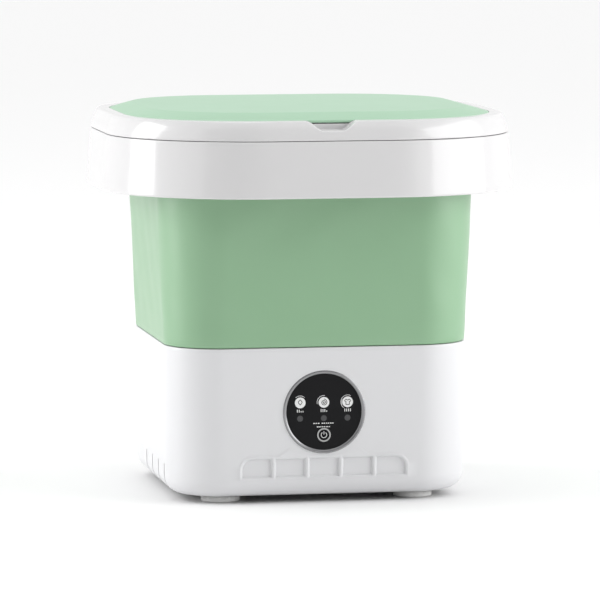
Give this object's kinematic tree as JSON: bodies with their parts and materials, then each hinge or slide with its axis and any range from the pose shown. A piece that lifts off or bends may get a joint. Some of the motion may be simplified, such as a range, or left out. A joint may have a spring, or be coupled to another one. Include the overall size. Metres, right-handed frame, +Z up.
{
  "type": "foldable mini washing machine",
  "caption": "Foldable top-loading mini washing machine: white base with a round control disc, green folding wall, overhanging collar and hinged lid",
  "frame": {"origin": "centre of the footprint, on the floor under the feet", "axes": "+Z up, -Y towards the front with the control disc, +X to the right of someone who stands behind the machine's front face looking along +Y"},
  "size_m": [0.3398, 0.3198, 0.32],
  "materials": {
    "white_gloss": "glossy moulded ABS",
    "white_satin": "satin moulded ABS",
    "green_gloss": "satin moulded ABS",
    "green_elastic": "smooth satin elastomer",
    "white_inner": "matt moulded polypropylene",
    "soft_white": "soft matt rubber",
    "grey_rubber": "matt rubber",
    "black_gloss": "polished black acrylic",
    "black_plastic": "matt black nylon",
    "silver_trim": "satin silver coating",
    "white_print": "screen print",
    "grey_window": "smoked translucent plastic",
    "steel": "machined steel",
    "zinc_plate": "zinc plated sheet",
    "gear_nylon": "natural nylon",
    "board": "solder mask",
    "led": "clear epoxy",
    "copper_wire": "insulated wire"
  },
  "bodies": {
    "base": {"base_shell": "white_satin", "bottom_cover": "white_inner", "feet": "soft_white", "cover_screws": "steel", "tub_pan": "white_inner", "drain_grate": "white_inner", "drain_elbow": "grey_rubber", "drain_spigot": "white_inner", "fold_wall": "green_elastic", "shaft_seal": "grey_rubber", "upper_bearing": "steel", "lower_bearing": "steel", "gear_plate": "zinc_plate", "plate_screws": "steel", "motor_can": "steel", "motor_end_cap": "black_plastic", "motor_screws": "steel", "panel_bezel": "silver_trim", "panel_disc": "black_gloss", "mode_marks": "white_print", "indicator_windows": "grey_window", "control_board": "board", "key_switch": "black_plastic", "board_leds": "led", "board_screws": "steel", "power_inlet": "black_plastic", "inlet_pin": "steel", "inlet_nut": "steel", "wire_harness": "copper_wire"},
    "collar": {"collar": "white_gloss", "wall_clamp_ring": "white_inner", "hinge_pins": "steel"},
    "lid": {"lid_frame": "white_gloss", "lid_panel": "green_gloss", "lid_liner": "white_inner", "lid_seal": "soft_white"},
    "pulsator": {"pulsator": "white_inner", "pulsator_screw": "steel", "drive_shaft": "steel", "shaft_clip": "steel", "driven_gear": "gear_nylon"},
    "rotor": {"motor_shaft": "steel", "motor_pinion": "gear_nylon"},
    "power_key": {"power_key": "black_gloss", "key_ring": "white_print"},
    "drain_plug": {"drain_plug": "grey_rubber"}
  },
  "joints": [
    {"name": "collapse", "type": "slide", "parent": "base", "child": "collar", "axis": [0, 0, -1], "range_m": [0, 0.125], "deforming": ["fold_wall"]},
    {"name": "lid_hinge", "type": "hinge", "parent": "collar", "child": "lid", "pos_m": [0, 0.1565, 0.3], "axis": [-1, 0, 0], "range_deg": [0, 100]},
    {"name": "pulsator_spin", "type": "hinge", "parent": "base", "child": "pulsator", "pos_m": [0, 0, 0.1], "axis": [0, 0, 1], "continuous": true},
    {"name": "motor_spin", "type": "hinge", "parent": "base", "child": "rotor", "pos_m": [-0.03635, 0, 0.06], "axis": [0, 0, 1], "continuous": true},
    {"name": "power_key_press", "type": "slide", "parent": "base", "child": "power_key", "axis": [0, 1, 0], "range_m": [0, 0.0008], "stiffness_N_per_m": 400},
    {"name": "drain_plug_pull", "type": "slide", "parent": "base", "child": "drain_plug", "axis": [0, 1, 0], "range_m": [0, 0.025]}
  ],
  "couplings": [
    {"joint": "motor_spin", "follows": "pulsator_spin", "ratio": -5}
  ]
}
